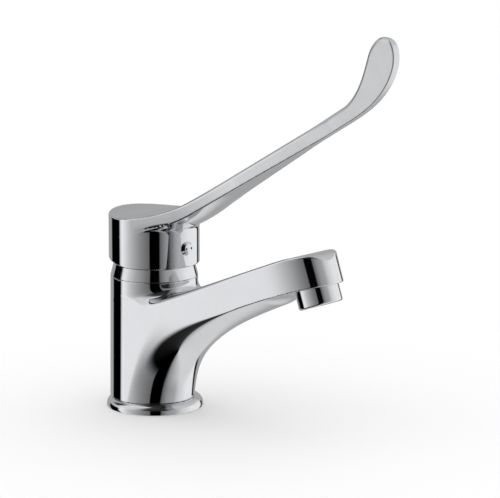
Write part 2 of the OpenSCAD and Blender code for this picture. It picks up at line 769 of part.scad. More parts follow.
// Drum and elbow lever in one casting; the drum's top is hollowed by the lever's sweep
seat_x = drum_d / 2 - 0.5;
scoop_gap = 0.2;
module handle() {
    color("silver")
        difference() {
            union() {
                difference() {
                    translate([0, 0, drum_foot_h])
                        cylinder(h = drum_h + lever_t, d = drum_d);
                    translate([root_sweep_x, drum_d, drum_top_h + root_sweep_r])
                        rotate([90, 0, 0])
                            cylinder(h = 2 * drum_d, r = root_sweep_r + scoop_gap, $fn = 160);
                }
                skin([for (s = lever_steps) lever_ring(s)]);
            }
            drum_hollow();
            translate([-stem_half - fit, -stem_half - fit, socket_foot_h - cut])
                cube([stem_w + 2 * fit, stem_w + 2 * fit, stem_top_h + stack_gap - socket_foot_h + cut]);
            translate([0, 0, index_h]) {
                rod_x(0, drum_d / 2 + cut, grub_d / 2 + fit);
                rod_x(seat_x - index_shank_l - stack_gap, drum_d / 2, index_shank_d / 2 + fit);
                rod_x(seat_x, drum_d / 2, index_d / 2 + fit);
            }
            translate([relief_start, 0, drum_foot_h])
                rotate([0, relief_angle, 0])
                    translate([-2 * drum_d, -drum_d, -drum_h])
                        cube([2 * drum_d, 2 * drum_d, drum_h]);
        }
}

module grub_screw() {
    color("dimgray")
        translate([0, 0, index_h])
            difference() {
                rod_x(stem_half, grub_l, grub_d / 2);
                translate([stem_half + grub_l / 2, 0, 0])
                    rotate([0, 90, 0])
                        cylinder(h = grub_l, d = grub_key / cos(30), $fn = 6);
            }
}

// Index button: a shank in the drum and a shallow dome
dome_r = (pow(index_d / 2, 2) + pow(index_proud, 2)) / (2 * index_proud);
dot_t = 0.8;
module dot_at(side, gap) {
    translate([seat_x + index_proud - dot_t, side * dot_side, index_h])
        rotate([0, 90, 0])
            cylinder(h = 2, d = dot_d + gap);
}

module index_dome() {
    translate([0, 0, index_h])
        intersection() {
            translate([seat_x + index_proud - dome_r, 0, 0])
                rotate([0, 0, 180])
                    sphere(r = dome_r, $fn = 160);
            rod_x(seat_x, index_d, index_d);
        }
}

module index_plug() {
    color("silver")
        difference() {
            union() {
                translate([0, 0, index_h])
                    rod_x(seat_x - index_shank_l, index_shank_l + index_proud / 5, index_shank_d / 2);
                index_dome();
            }
            dot_at(-1, 0);
            dot_at(1, 0);
        }
}

module hot_dot() {
    color("crimson")
        intersection() {
            index_dome();
            dot_at(-1, -pin_fit);
        }
}

module cold_dot() {
    color("royalblue")
        intersection() {
            index_dome();
            dot_at(1, -pin_fit);
        }
}

// Aerator: sleeve, washer, jet former and screen, along the aerator axis
sleeve_l = aerator_show + aerator_thread_l;
lip = 0.9;
lip_t = 1;
insert_foot = -aerator_show + insert_recess;
module aerator_housing() {
    color("silver")
        at_nose()
            difference() {
                translate([0, 0, -aerator_show])
                    cylinder(h = sleeve_l, d = aerator_d);
                translate([0, 0, insert_foot])
                    cylinder(h = sleeve_l, r = sleeve_bore_r);
                translate([0, 0, -aerator_show - cut])
                    cylinder(h = sleeve_l, r = sleeve_bore_r - lip);
            }
}

module aerator_washer() {
    color("black")
        at_nose()
            translate([0, 0, aerator_thread_l])
                ring(washer_t, aerator_d / 2, aerator_d / 2 - washer_w);
}

// Places of holes in a hexagonal pattern of a given number of rows
hole_rows = 2;
hole_places = [for (i = [-hole_rows:hole_rows], j = [-hole_rows:hole_rows])
    if (abs(i + j) <= hole_rows) [jet_pitch * (i + j / 2), jet_pitch * j * sqrt(3) / 2]];
module hole_grid(h, l) {
    for (p = hole_places)
        translate([p[0], p[1], h - cut])
            cylinder(h = l + 2 * cut, d = jet_d, $fn = 24);
}

module aerator_insert() {
    color("lightgray")
        at_nose()
            difference() {
                translate([0, 0, insert_foot])
                    cylinder(h = insert_t, r = sleeve_bore_r - fit);
                hole_grid(insert_foot, insert_t);
            }
}

module aerator_screen() {
    color("gray")
        at_nose()
            difference() {
                translate([0, 0, insert_foot + insert_t])
                    cylinder(h = screen_t, r = sleeve_bore_r - fit);
                hole_grid(insert_foot + insert_t, screen_t);
            }
}

body();
base_ring();
base_gasket();
collar();
retaining_nut();
cartridge_housing();
cartridge_base();
port_seals();
disc_seals();
fixed_disc();
moving_disc();
disc_carrier();
rotor();
rotor_seal();
pivot_pin();
lever_stem();
handle();
grub_screw();
index_plug();
hot_dot();
cold_dot();
aerator_housing();
aerator_washer();
aerator_insert();
aerator_screen();
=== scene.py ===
import json
import math
import bpy
import numpy as np
from mathutils import Matrix, Vector


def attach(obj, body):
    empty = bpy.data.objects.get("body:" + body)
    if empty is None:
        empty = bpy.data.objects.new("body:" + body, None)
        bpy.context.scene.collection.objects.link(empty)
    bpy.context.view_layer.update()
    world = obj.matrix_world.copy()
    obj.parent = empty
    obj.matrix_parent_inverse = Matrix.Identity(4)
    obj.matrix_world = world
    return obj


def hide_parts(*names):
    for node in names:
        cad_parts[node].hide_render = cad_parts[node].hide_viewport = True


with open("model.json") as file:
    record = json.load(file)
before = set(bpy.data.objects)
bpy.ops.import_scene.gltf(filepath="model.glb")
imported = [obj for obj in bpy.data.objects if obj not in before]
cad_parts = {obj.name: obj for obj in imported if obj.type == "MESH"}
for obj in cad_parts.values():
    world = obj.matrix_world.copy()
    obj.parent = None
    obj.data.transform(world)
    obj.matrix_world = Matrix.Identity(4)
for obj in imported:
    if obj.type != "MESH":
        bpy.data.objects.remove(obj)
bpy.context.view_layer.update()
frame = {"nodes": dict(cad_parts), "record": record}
nodes = frame["nodes"]
mm = 0.001  # shapes are worked out in millimetres

leastEdge = 0.0001  # radius of an edge that has faded out

# how the castings are meshed: grid cell, cells in a coarse block, band around the surface that is worked out cell by
# cell, step of the slope, passes onto the surface, those that first even out the points, and by what share
surfaceNet = {
    "cell": 0.7, "coarse": 4, "band": 7.0, "step": 0.02, "passes": 4, "evenIn": (1, 2), "even": 0.4, "least": 1e-9,
}


def ramp(u):
    # 0 before 0, 1 after 1, an even S curve between
    t = np.clip(u, 0.0, 1.0)
    return t * t * (3 - 2 * t)


def roundCut(a, b, r):
    # where both distances are below zero, with the outer edge rounded to radius r
    return np.minimum(-r, np.maximum(a, b)) + np.hypot(np.maximum(r + a, 0), np.maximum(r + b, 0))


def easeMax(a, b, k):
    # the larger of two values, eased over a band of width k around their crossing
    h = np.clip(0.5 + 0.5 * (a - b) / k, 0.0, 1.0)
    return b + (a - b) * h + k * h * (1 - h) / 2


def slopeOf(field, p):
    # gradient of a field at points p, from central differences
    h = surfaceNet["step"]
    steps = np.eye(3) * h
    return np.stack([(field(*(p + d).T) - field(*(p - d).T)) / (2 * h) for d in steps], axis=1)


def skinOf(field, low, high):
    # closed skin around field < 0: one point per grid cell that the surface crosses, at the mean of the cell's
    # edge crossings, then moved onto the surface; one quad around each crossed grid edge
    cell, block = surfaceNet["cell"], surfaceNet["coarse"]
    low = np.asarray(low, float)
    count = np.ceil((np.asarray(high, float) - low) / (cell * block)).astype(int)
    axes = [low[k] + cell * (np.arange(count[k]) * block + (block - 1) / 2) for k in range(3)]
    rough = np.stack(np.meshgrid(*axes, indexing="ij"), axis=-1).reshape(-1, 3)
    value = field(*rough.T).reshape(count)
    for axis in range(3):
        value = np.repeat(value, block, axis=axis)
    near = np.argwhere(np.abs(value) < surfaceNet["band"])
    value[tuple(near.T)] = field(*(low + cell * near).T)
    inside = value < 0

    corner = np.array([[i, j, k] for i in (0, 1) for j in (0, 1) for k in (0, 1)])
    size = np.array(value.shape) - 1
    total = sum(inside[tuple(slice(c, c + n) for c, n in zip(o, size))].astype(np.int8) for o in corner)
    cells = np.argwhere((total > 0) & (total < 8))
    number = np.full(size, -1)
    number[tuple(cells.T)] = np.arange(len(cells))
    at = cells[:, None, :] + corner[None]
    v = value[tuple(np.moveaxis(at, 2, 0))]
    pairs = np.array([(m, n) for m in range(8) for n in range(m + 1, 8)
                      if np.abs(corner[m] - corner[n]).sum() == 1])
    va, vb = v[:, pairs[:, 0]], v[:, pairs[:, 1]]
    crossed = (va < 0) != (vb < 0)
    share = np.where(crossed, va / np.where(crossed, va - vb, 1.0), 0.0)
    spot = corner[pairs[:, 0]][None] + share[..., None] * (corner[pairs[:, 1]] - corner[pairs[:, 0]])[None]
    mean = (spot * crossed[..., None]).sum(1) / crossed.sum(1)[:, None]
    points = low + cell * (cells + mean)

    quads = []
    for axis in range(3):
        p, q = (axis + 1) % 3, (axis + 2) % 3
        ahead = [slice(None)] * 3
        behind = [slice(None)] * 3
        ahead[axis], behind[axis] = slice(1, None), slice(None, -1)
        edge = np.argwhere(inside[tuple(ahead)] != inside[tuple(behind)])
        edge = edge[(edge[:, p] > 0) & (edge[:, q] > 0) & (edge[:, p] < size[p]) & (edge[:, q] < size[q])]
        outward = inside[tuple(edge.T)]
        ring = []
        for dp, dq in ((1, 1), (0, 1), (0, 0), (1, 0)):
            c = edge.copy()
            c[:, p] -= dp
            c[:, q] -= dq
            ring.append(number[tuple(c.T)])
        ring = np.stack(ring, axis=1)
        quads.append(np.where(outward[:, None], ring, ring[:, ::-1]))
    quads = np.concatenate(quads)

    sides = np.concatenate([quads[:, [k, (k + 1) % 4]] for k in range(4)])
    even, least = surfaceNet["even"], surfaceNet["least"]
    for turn in range(surfaceNet["passes"]):
        if turn in surfaceNet["evenIn"]:
            around = np.zeros_like(points)
            times = np.zeros(len(points))
            np.add.at(around, sides[:, 0], points[sides[:, 1]])
            np.add.at(times, sides[:, 0], 1)
            points = (1 - even) * points + even * around / times[:, None]
        g = slopeOf(field, points)
        move = field(*points.T)[:, None] * g / ((g * g).sum(1, keepdims=True) + least)
        points = points - np.clip(move, -cell, cell)
    g = slopeOf(field, points)
    return points, quads, g / (np.linalg.norm(g, axis=1, keepdims=True) + least)


def putMesh(name, points, quads, normals, body, slot, *stands):
    # points in millimetres; the normals come from the formula, so that reflections run smoothly
    mesh = bpy.data.meshes.new(name)
    mesh.vertices.add(len(points))
    mesh.vertices.foreach_set("co", (np.asarray(points) * mm).astype(np.float32).ravel())
    mesh.loops.add(quads.size)
    mesh.loops.foreach_set("vertex_index", quads.astype(np.int32).ravel())
    mesh.polygons.add(len(quads))
    mesh.polygons.foreach_set("loop_start", np.arange(len(quads), dtype=np.int32) * 4)
    mesh.update(calc_edges=True)
    mesh.validate()
    mesh.normals_split_custom_set_from_vertices(np.asarray(normals).tolist())
    piece = bpy.data.objects.new(name, mesh)
    bpy.context.scene.collection.objects.link(piece)
    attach(piece, body)
    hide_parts(*stands)
    print("made", name, "points", len(points), "faces", len(quads))
    return piece


def roundedLoop(corners, steps=7):
    # a closed outline through corners (radius from axis, height, rounding), anticlockwise: each corner becomes an
    # arc that touches both of its sides; returns the points and their outward directions
    c = np.asarray(corners, float)
    points, normals = [], []
    for here, before, after in zip(c, np.roll(c, 1, axis=0), np.roll(c, -1, axis=0)):
        a = (before[:2] - here[:2]) / np.linalg.norm(before[:2] - here[:2])
        b = (after[:2] - here[:2]) / np.linalg.norm(after[:2] - here[:2])
        half = math.acos(np.clip(a @ b, -1, 1)) / 2
        middle = (a + b) / np.linalg.norm(a + b)
        centre = here[:2] + middle * here[2] / math.sin(half)
        turn = 1.0 if a[0] * b[1] - a[1] * b[0] < 0 else -1.0
        reach = math.pi / 2 - half
        sweep = np.linspace(-reach, reach, steps) * turn
        out = np.stack([-middle[0] * np.cos(sweep) + middle[1] * np.sin(sweep),
                        -middle[1] * np.cos(sweep) - middle[0] * np.sin(sweep)], axis=1)
        points.append(centre + here[2] * out)
        normals.append(out * turn)
    return np.concatenate(points), np.concatenate(normals)


def revolve(points, normals, count):
    # turns a closed outline about the Z axis into a ring
    a = np.linspace(0, 2 * math.pi, count, endpoint=False)
    r, z = points[:, :1], points[:, 1:]
    flat = np.zeros_like(a)
    grid = np.stack([r * np.cos(a), r * np.sin(a), z + flat], axis=-1).reshape(-1, 3)
    n = np.stack([normals[:, :1] * np.cos(a), normals[:, :1] * np.sin(a), normals[:, 1:] + flat], axis=-1)
    i, j = np.meshgrid(np.arange(len(points)), np.arange(count), indexing="ij")
    i2, j2 = (i + 1) % len(points), (j + 1) % count
    quads = np.stack([i * count + j, i * count + j2, i2 * count + j2, i2 * count + j], axis=-1)
    return grid, quads.reshape(-1, 4), n.reshape(-1, 3)


def tilted(points, centre, degrees):
    # turns points about the Y axis, then moves them
    a = math.radians(degrees)
    turn = np.array([[math.cos(a), 0, math.sin(a)], [0, 1, 0], [-math.sin(a), 0, math.cos(a)]])
    return points @ turn.T + np.asarray(centre)


# casting of column and spout
# mouth, moat, arch and throat are sweeps where the spout meets the column: (height on the column, length)
# topEdge holds the upper edge's rounding at the column, along the flanks and at the tip, lowEdge the lower edge's at
# the nose and at the column; their S values say where along the spout the change starts, and its length
# droopFrom, bellyFrom and tipFrom are counted in nose radii back from the nose's middle
tapBody = {
    "seam": 74.0, "foot": 5.4, "topR": 24.2, "footR": 23.35, "footBack": 2.0,
    "reach": 120.5, "outletH": 83.8, "rise": 20.0, "flare": 1.85, "noseR": 14.0, "noseT": 19.5,
    "taper": 0.0476, "leastHalf": 4.0, "blunt": 100.0, "tip": 134.0, "square": 3.5, "flat": 0.01, "deepest": -40.0,
    "lift": 1.4, "droop": 14.0, "droopFrom": 1.4, "droopEnd": 1.6, "rootX": 9.0,
    "belly": 2.8, "bellyFrom": 0.85, "dip": 4.5, "keel": 1.6,
    "arch": (18.6, 20.0), "throat": (6.0, 7.0), "mouth": (6.5, 2.6), "moat": (1.0, 9.0), "moatPower": 4,
    "topJoin": 1.2, "lowJoin": 16.0, "fade": 6.0, "rollS": 6.0, "rollR": 60.0, "lip": 0.35,
    "topEdge": (2.6, 1.2, 4.0), "topEdgeS": (-80.0, 60.0), "tipFrom": 1.2, "tipShare": 0.6,
    "lowEdge": (1.0, 16.0), "lowEdgeS": (-45.0, 60.0),
    "spigotR": 20.5, "spigotFoot": 1.5, "spigotInto": 1.0, "hollowR": 17.5, "hollowH": 12.0,
    "seat": 48.0, "chamberR": 20.1, "shoulder": 69.5, "threadR": 21.2,
    "inlet": (-6.5, 9.0, 4.5, 24.0), "stud": (12.5, 0.0, 3.4, 23.0),
    "sleeveR": 12.05, "sleeveDepth": 7.0, "throatR": 9.45, "throatDepth": 13.6,
    "box": ((-27, -26, 0), (137, 26, 109)),
}


def columnAt(z):
    # middle and radius of the column at a height: it leans back and narrows towards its foot
    b = tapBody
    down = (b["seam"] - z) / (b["seam"] - b["foot"])
    return -b["footBack"] * down, b["topR"] + (b["footR"] - b["topR"]) * down


def noseFrame(x, z):
    # along the spout and along the aerator axis, from the middle of the nose's underside
    a = math.radians(tapBody["rise"])
    dx, dz = x - tapBody["reach"], z - tapBody["outletH"]
    return dx * math.cos(a) + dz * math.sin(a), dz * math.cos(a) - dx * math.sin(a)


def softJoin(a, b, k):
    # where either distance is below zero, with the seam eased over a band of width k
    h = np.maximum(k - np.abs(a - b), 0) / k
    return np.minimum(a, b) - h ** 3 * k / 6


def sweepTo(away, *waves):
    # how far a face has run up its wall at a distance from it, and how steep it is there: falling exponentials
    near = np.maximum(away, 0)
    parts = [(tall * np.exp(-near / length), length) for tall, length in waves]
    return sum(v for v, length in parts), sum(v / length for v, length in parts)


def castingField(x, y, z):
    # plan: the column's circle with two lines that touch it and close in a blunt nose, (y / line)^2 + e^3.5 = 1
    # above: a rising plane that rolls over at the nose, dips before the column and sweeps up it
    # below: a keel between the drooping lower edges of the flanks, 1 - (y / line)^1.6 across, eased into the column
    b = tapBody
    s, q = noseFrame(x, z)
    slope = math.radians(b["rise"])
    rootS = (b["reach"] - b["rootX"]) / math.cos(slope)
    start = b["droopFrom"] * b["noseR"]
    run = np.clip((-s - start) / (rootS - start), 0, b["droopEnd"])
    c, r = columnAt(z)
    lean = ramp(1 + s / rootS)
    u, w = x + lean * q * math.sin(slope) - c, np.abs(y)
    fall = b["taper"]
    line = np.maximum(r * math.hypot(1, fall) - fall * u, b["leastHalf"])
    share = np.minimum(w / line, 1.0)
    e = np.maximum(u + c - b["blunt"], 0) / (b["tip"] - b["blunt"])
    shape = (w / line) ** 2 + e ** b["square"] - 1
    turn = b["square"] * e ** (b["square"] - 1) / (b["tip"] - b["blunt"])
    steep = np.hypot(2 * w / line ** 2, turn + 2 * w * w * fall / line ** 3)
    side = np.hypot(x - c, y) - r
    plan = np.where(u < w * fall, side, np.maximum(shape / (steep + b["flat"]), b["deepest"]))
    column = roundCut(side, z - b["seam"], b["lip"])
    lift, liftSlope = sweepTo(side, b["mouth"])
    moat, moatSlope = (v * (1 - share ** b["moatPower"]) for v in sweepTo(side, b["moat"]))
    roll = np.maximum(s + b["rollS"], 0) ** 2 / (2 * b["rollR"])
    top = q - b["noseT"] - s * math.tan(math.radians(b["flare"]))
    top = (top + roll - lift + moat) / np.sqrt(1 + (liftSlope - moatSlope) ** 2)
    sink, sinkSlope = sweepTo(side, b["throat"], b["arch"])
    flank = b["lift"] - b["droop"] * run ** 2
    keel = -b["belly"] * ramp((-s - b["bellyFrom"] * b["noseR"]) / b["noseR"]) - b["dip"] * run - sink
    sag = np.minimum(keel - flank, 0)
    bow = 1 - share ** b["keel"]
    under = flank + sag * bow - q
    under = under / np.sqrt(1 + (b["keel"] * sag * share ** (b["keel"] - 1) / line) ** 2 + (sinkSlope * bow) ** 2)
    gap = side - plan  # edges fade out where the flanks run into the column
    rootEdge, sideEdge, tipEdge = b["topEdge"]
    begin, length = b["topEdgeS"]
    edge = rootEdge + (sideEdge - rootEdge) * ramp((s - begin) / length)
    tipPart, middle = ramp((s + b["tipFrom"] * b["noseR"]) / b["noseR"]), 1 - ramp(share / b["tipShare"])
    edge = edge + (tipEdge - edge) * tipPart * middle
    noseEdge, columnEdge = b["lowEdge"]
    begin, length = b["lowEdgeS"]
    lowEdge = noseEdge + (columnEdge - noseEdge) * ramp((begin - s) / length)
    lowEdge = lowEdge * (1 - np.exp(-np.maximum(gap, 0) / b["fade"])) + leastEdge
    d = roundCut(plan, softJoin(top, column, b["topJoin"]), edge * ramp(gap / b["fade"]) + leastEdge)
    return -softJoin(-d, -softJoin(under, column, b["lowJoin"]), lowEdge)


def tapBodyField(x, y, z):
    # the casting on its spigot, with the cartridge's chamber and thread, the hollow underneath, the holes for hoses
    # and stud, and the aerator's bore and throat
    b = tapBody
    d = roundCut(castingField(x, y, z), b["foot"] - z, b["lip"])
    r = np.hypot(x, y)
    spigot = np.maximum(np.maximum(r - b["spigotR"], b["spigotFoot"] - z), z - b["foot"] - b["spigotInto"])
    d = np.minimum(d, spigot)
    d = np.maximum(d, -np.maximum(r - b["chamberR"], b["seat"] - z))
    d = np.maximum(d, -np.maximum(r - b["threadR"], b["shoulder"] - z))
    d = np.maximum(d, -np.maximum(r - b["hollowR"], z - b["hollowH"]))
    for px, py, pr, depth in (b["inlet"], b["stud"]):
        d = np.maximum(d, -np.maximum(np.hypot(x - px, np.abs(y) - py) - pr, z - depth))
    s, q = noseFrame(x, z)
    n = np.hypot(s, y)
    d = np.maximum(d, -np.maximum(n - b["sleeveR"], q - b["sleeveDepth"]))
    return np.maximum(d, -np.maximum(n - b["throatR"], q - b["throatDepth"]))


body = putMesh("tap_body", *skinOf(tapBodyField, *tapBody["box"]), "tap", "chrome", "body")

# drum and elbow lever
# edge and lowEdge hold the roundings at the drum and along the lever, growS where the change starts and its length
# fairX is where the fairing under the crook starts to fade, and over what length
handle = {
    "drumR": 25.0, "foot": 81.2, "top": 108.2, "rim": 0.7, "relief": 7.0, "reliefX": 3.0,
    "sweepR": 93.0, "sweepX": -9.0, "rise": 31.2, "run": 116.68, "bendR": 56.0, "bend": 55.0,
    "rootT": 6.7, "bendT": 8.8, "paddleW": 18.4, "tipL": 14.0, "paddleT": 5.3,
    "taper": 15.0, "narrowW": 25.6, "narrowX": 48.0, "narrowTaper": 8.0, "narrowEase": 2.5, "paddleEase": 1.5,
    "edge": (0.8, 2.2), "lowEdge": (0.4, 0.7), "growS": (-25.0, 40.0), "fade": 3.0,
    "crook": 3.0, "fair": 1.6, "fairX": (12.0, 40.0), "fairPower": 3.5, "leastFair": 1e-6,
    "keel": 0.1, "keelX": 67.0, "keelEase": 8.0,
    "hollowR": 23.2, "ceiling": 101.5, "socketR": 8.0, "socketFoot": 88.0, "bossR": 4.6, "indexH": 92.0,
    "stemHalf": 4.1, "stemTop": 98.3, "screwR": 2.5, "shankR": 3.3, "shankX": 18.2,
    "box": ((-27, -27, 79), (178, 27, 226)),
}


def leverSpine(x, z):
    # the spine is an arc, a straight run and a second arc in the XZ plane: distance along it, height above it, slope
    h = handle
    rise = math.radians(h["rise"])
    cs, sn = math.cos(rise), math.sin(rise)
    sweep = h["sweepR"] + h["rootT"] / 2
    centre = (h["sweepX"], h["top"] + h["sweepR"])
    first = sweep * rise
    joint = (centre[0] + sweep * sn, centre[1] - sweep * cs)
    end = (joint[0] + h["run"] * cs, joint[1] + h["run"] * sn)
    high = (end[0] - h["bendR"] * sn, end[1] + h["bendR"] * cs)
    along = (x - joint[0]) * cs + (z - joint[1]) * sn
    a1 = np.arctan2(x - centre[0], centre[1] - z)
    a2 = np.arctan2(x - high[0], high[1] - z)
    where = [along < 0, along < h["run"]]
    s = np.select(where, [sweep * a1, first + along], first + h["run"] + h["bendR"] * (a2 - rise))
    e = np.select(where, [sweep - np.hypot(x - centre[0], z - centre[1]),
                          (z - joint[1]) * cs - (x - joint[0]) * sn],
                  h["bendR"] - np.hypot(x - high[0], z - high[1]))
    slope = np.select(where, [a1, rise + 0 * x], a2)
    return s - first, e, slope


def gripField(x, y, z):
    # plan: the drum's circle with two lines that touch it, narrow and end in the paddle's breadth
    # above: the lever's sweep, which also hollows the drum's top; below: the lever's underside with a keel that
    # deepens towards the drum, 1 - (y / half)^2 across, eased into the drum
    h = handle
    s, e, slope = leverSpine(x, z)
    bendL = h["bendR"] * math.radians(h["bend"])
    tipS = h["run"] + bendL - h["tipL"]
    deep = h["rootT"] + (h["bendT"] - h["rootT"]) * np.clip(s / h["run"], 0, 1)
    deep = (deep + (h["paddleW"] - h["bendT"]) * ramp((s - h["run"]) / (bendL - h["tipL"]))) / 2
    over = np.maximum(s - tipS, 0) / h["tipL"]
    upper = np.hypot(np.maximum(e, 0), deep * over) - deep
    px, w = x + e * np.sin(slope), np.abs(y)
    t, n = math.radians(h["taper"]), math.radians(h["narrowTaper"])
    root = (h["drumR"] - px * math.sin(t)) / math.cos(t)
    narrow = h["narrowW"] / 2 - (px - h["narrowX"]) * math.tan(n)
    half = easeMax(easeMax(root, narrow, h["narrowEase"]), h["paddleT"] / 2 + 0 * px, h["paddleEase"])
    keel = h["keel"] * easeMax(h["keelX"] - x, 0 * x, h["keelEase"]) * (1 - np.minimum(w / half, 1) ** 2)
    lower = np.hypot(np.minimum(e, 0), deep * over) - deep - keel
    side = np.hypot(x, y) - h["drumR"]
    plan = np.where(px * math.cos(t) - w * math.sin(t) < 0, side, (w - half) * math.cos(t))
    begin, length = h["fairX"]
    fair = h["fair"] * (1 - ramp((x - begin) / length)) + h["leastFair"]
    part = np.clip((e + deep) / (2 * deep), 0, 1)  # 0 at the underside, 1 at the top
    plan = plan + fair * (1 - np.exp(-np.maximum(side - plan, 0) / fair)) * (1 - part) ** h["fairPower"]
    tilt = math.radians(h["relief"])
    foot = np.maximum(h["foot"] - z, (h["foot"] - z + (h["reliefX"] - x) * math.tan(tilt)) * math.cos(tilt))
    drum = roundCut(side, foot, h["rim"])
    begin, length = h["growS"]
    grow = ramp((s - begin) / length)  # the lever's edges are softer than the drum's
    d = roundCut(plan, upper, h["edge"][0] + (h["edge"][1] - h["edge"][0]) * grow)
    lowEdge = h["lowEdge"][0] + (h["lowEdge"][1] - h["lowEdge"][0]) * grow
    return roundCut(d, softJoin(lower, drum, h["crook"]), lowEdge * ramp((side - plan) / h["fade"]) + leastEdge)


def handleField(x, y, z):
    # the grip, hollowed from below around a socket and a boss, with the stem's square hole and the grub screw's bore
    h = handle
    d = gripField(x, y, z)
    r = np.hypot(x, y)
    boss = np.maximum(np.hypot(y, z - h["indexH"]) - h["bossR"], -x)
    inner = np.minimum(r - h["socketR"], boss)
    inner = np.maximum(inner, h["socketFoot"] - z)
    hollow = np.maximum(np.maximum(r - h["hollowR"], z - h["ceiling"]), -inner)
    d = np.maximum(d, -hollow)
    stem = np.maximum(np.abs(x), np.abs(y)) - h["stemHalf"]
    stem = np.maximum(stem, np.abs(z - h["foot"]) - h["stemTop"] + h["foot"])
    d = np.maximum(d, -stem)
    screw = np.hypot(y, z - h["indexH"])
    d = np.maximum(d, -np.maximum(screw - h["screwR"], -x))
    return np.maximum(d, -np.maximum(screw - h["shankR"], h["shankX"] - x))


lever = putMesh("elbow_handle", *skinOf(handleField, *handle["box"]), "lever", "chrome", "handle")

# bulging ring under the column
footRing = {
    "bulge": 4.199, "bulgeX": 22.5, "bulgeZ": 1.2, "hole": 20.6, "low": 0.2, "high": 5.4, "steps": 40, "turns": 160,
}


def footRingOutline():
    # a round bulge, cut flat below, with a flat seat above
    f = footRing
    a0 = math.asin((f["low"] - f["bulgeZ"]) / f["bulge"])
    a = np.linspace(a0, math.pi / 2, f["steps"])
    out = np.stack([np.cos(a), np.sin(a)], axis=1)
    arc = np.array([f["bulgeX"], f["bulgeZ"]]) + f["bulge"] * out
    inner = np.array([[f["hole"], f["high"]], [f["hole"], f["high"]], [f["hole"], f["low"]], [f["hole"], f["low"]]])
    inward = np.array([[0, 1.0], [-1.0, 0], [-1.0, 0], [0, -1.0]])
    return np.concatenate([arc, inner, arc[:1]]), np.concatenate([out, inward, [[0, -1.0]]])


ring = putMesh("foot_ring", *revolve(*footRingOutline(), footRing["turns"]), "tap", "chrome", "base_ring")

# tapered collar between column and drum
collarRing = {
    "outline": [(20.6, 74.0, 0.15), (24.2, 74.0, 0.35), (22.0, 82.5, 0.6), (19.5, 85.0, 0.4), (18.0, 85.0, 0.2),
                (18.0, 79.3, 0.2), (20.6, 79.3, 0.15)],
    "turns": 160,
}
collarShape = revolve(*roundedLoop(collarRing["outline"]), collarRing["turns"])
collar = putMesh("collar_ring", *collarShape, "tap", "chrome", "collar")

# screwed sleeve of the aerator
outletSleeve = {
    "outline": [(10.15, 5.5, 0.2), (10.15, -7.4, 0.1), (9.25, -7.4, 0.2), (9.25, -9.0, 0.35), (11.95, -9.0, 1.3),
                (11.95, 5.5, 0.3)],
    "turns": 144,
}
sleevePoints, sleeveQuads, sleeveNormals = revolve(*roundedLoop(outletSleeve["outline"]), outletSleeve["turns"])
sleevePlace = ((tapBody["reach"], 0, tapBody["outletH"]), -tapBody["rise"])
sleeve = putMesh("outlet_sleeve", tilted(sleevePoints, *sleevePlace), sleeveQuads,
                 tilted(sleeveNormals, (0, 0, 0), -tapBody["rise"]), "tap", "chrome", "aerator_housing")

# index button on the front of the drum, with a red and a blue dot
indexButton = {
    "seat": (24.5, 0.0, 92.0), "forward": 90, "turns": 96, "dotTurns": 48,
    "outline": [(0.03, 2.1, 0.01), (0.03, -0.4, 0.01), (4.25, -0.4, 0.05), (4.25, 0.25, 0.1), (2.7, 1.75, 0.4),
                (1.5, 2.0, 5.0)],
    "dotOutline": [(0.02, 2.02, 0.005), (0.02, 1.3, 0.005), (0.7, 1.3, 0.02), (0.7, 2.02, 0.04)],
    "dots": (("hot_mark", -1.5, "red_mark", "hot_dot"), ("cold_mark", 2.0, "blue_mark", "cold_dot")),
}


def turnedStud(name, outline, count, side, slot, node):
    # an outline turned about an axis that points forward
    points, quads, normals = revolve(*roundedLoop(outline), count)
    seat = np.array(indexButton["seat"]) + (0, side, 0)
    points = tilted(points, seat, indexButton["forward"])
    normals = tilted(normals, (0, 0, 0), indexButton["forward"])
    return putMesh(name, points, quads, normals, "lever", slot, node)


button = turnedStud("index_button", indexButton["outline"], indexButton["turns"], 0, "chrome", "index_plug")
marks = [turnedStud(name, indexButton["dotOutline"], indexButton["dotTurns"], side, slot, node)
         for name, side, slot, node in indexButton["dots"]]
print("pieces made")


# finishes; smearSpan is the part of the smears' noise that is spread over the roughness, wearX where along the lever
# the wear starts and is full, in metres
film = {"rippleDetail": 1.0, "smearDetail": 6.0, "smearRough": 0.62, "smearSpan": (0.35, 0.75), "wearX": (0.02, 0.15)}
filmInputs = {"Ripple Scale": "Float", "Smear Scale": "Float", "Rough From": "Float", "Rough To": "Float",
              "Wear": "Float", "Bright": "Color", "Dull": "Color"}
filmOutputs = {"Colour": "Color", "Roughness": "Float", "Height": "Float"}


